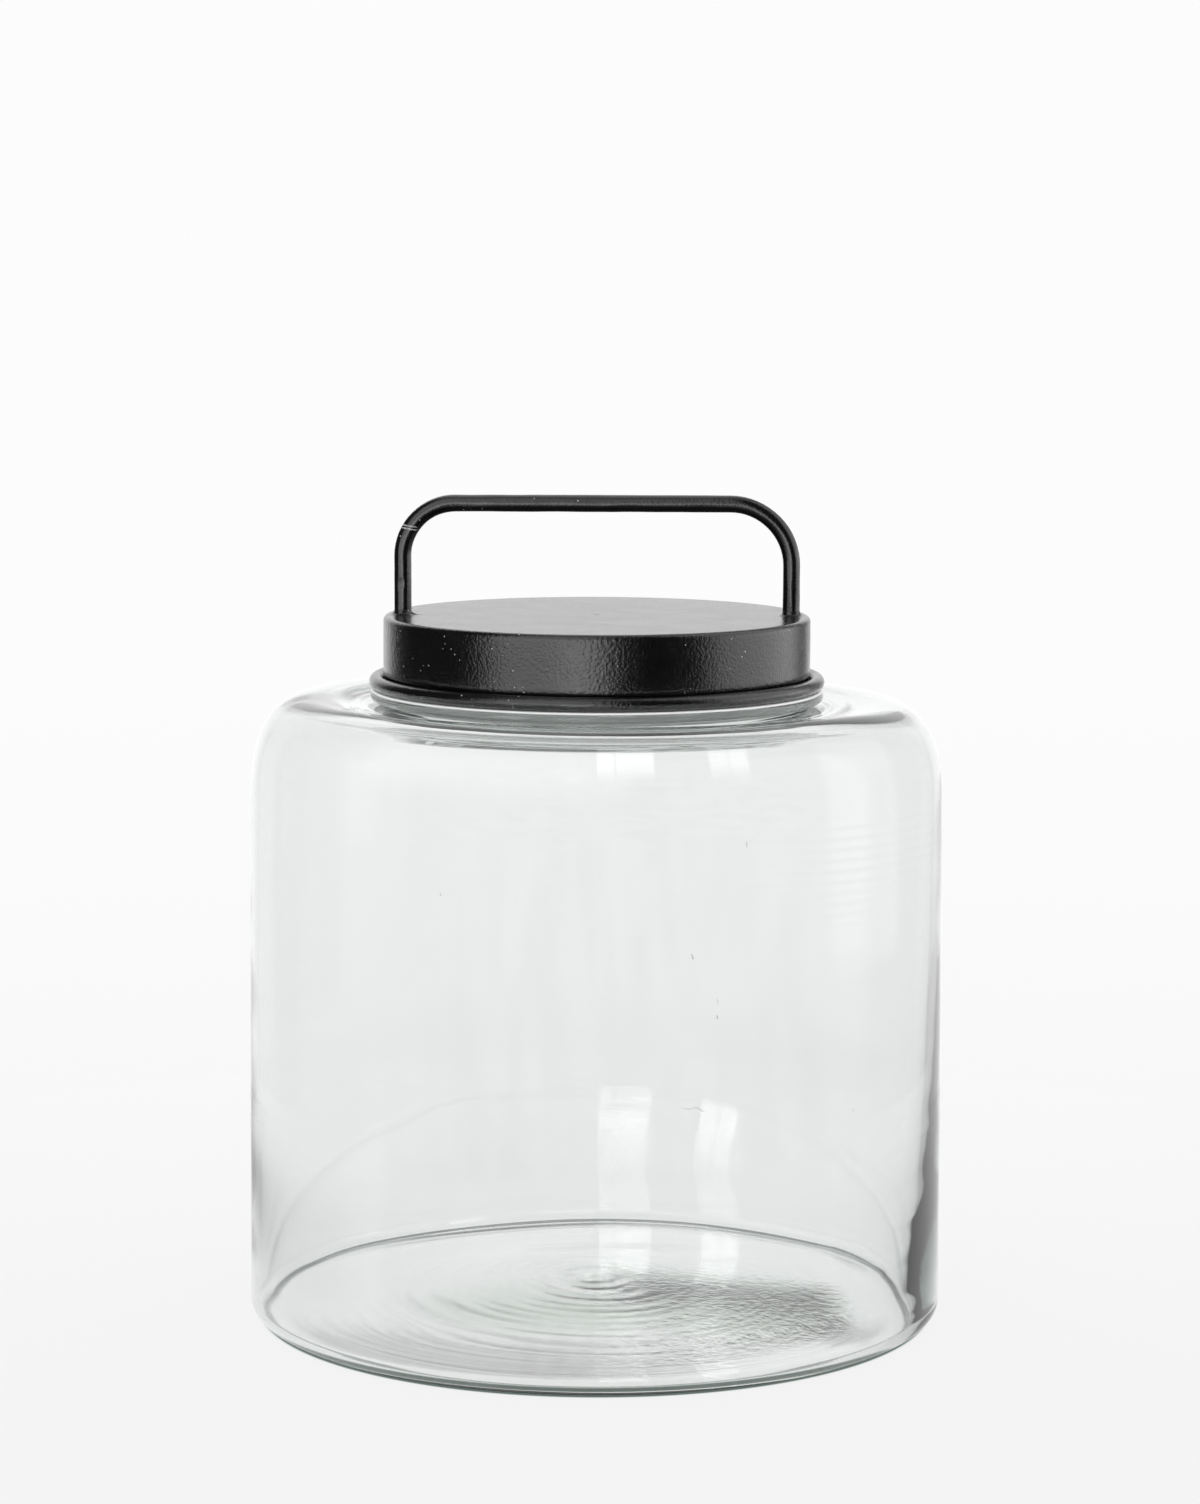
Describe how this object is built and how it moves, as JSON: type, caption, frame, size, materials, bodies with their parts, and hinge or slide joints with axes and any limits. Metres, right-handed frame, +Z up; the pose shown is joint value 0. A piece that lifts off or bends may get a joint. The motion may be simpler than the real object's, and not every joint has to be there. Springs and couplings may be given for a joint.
{
  "type": "lidded storage jar",
  "caption": "Wide hand-blown glass storage jar with a low flanged mouth, closed by a lift-off drum lid with a bent-rod handle and a soft ring seal.",
  "frame": {"origin": "centre of the resting circle under the base", "axes": "+Z up along the jar's axis, +X along the handle's bar, from the left foot to the right one"},
  "size_m": [0.2542, 0.2542, 0.3005],
  "materials": {
    "jar_glass": "clear glass with a faint grey-green cast",
    "seal_silicone": "translucent soft silicone",
    "lid_paint": "satin powder coat, fine orange peel",
    "plate_paint": "satin powder coat",
    "handle_paint": "satin powder coat over bent rod",
    "weld_paint": "powder coat over weld"
  },
  "bodies": {
    "jar": {"glass_jar": "jar_glass"},
    "seal": {"seal_ring": "seal_silicone"},
    "lid": {"lid_drum": "lid_paint", "lid_foot_ring": "lid_paint", "lid_base_plate": "plate_paint", "handle_rod": "handle_paint", "handle_weld_left": "weld_paint", "handle_weld_right": "weld_paint"}
  },
  "joints": [
    {"name": "lid_lift", "type": "slide", "parent": "jar", "child": "seal", "axis": [0, 0, 1], "range_m": [0, 0.12]},
    {"name": "lid_turn", "type": "hinge", "parent": "seal", "child": "lid", "pos_m": [0, 0, 0.2303], "axis": [0, 0, 1], "continuous": true}
  ]
}
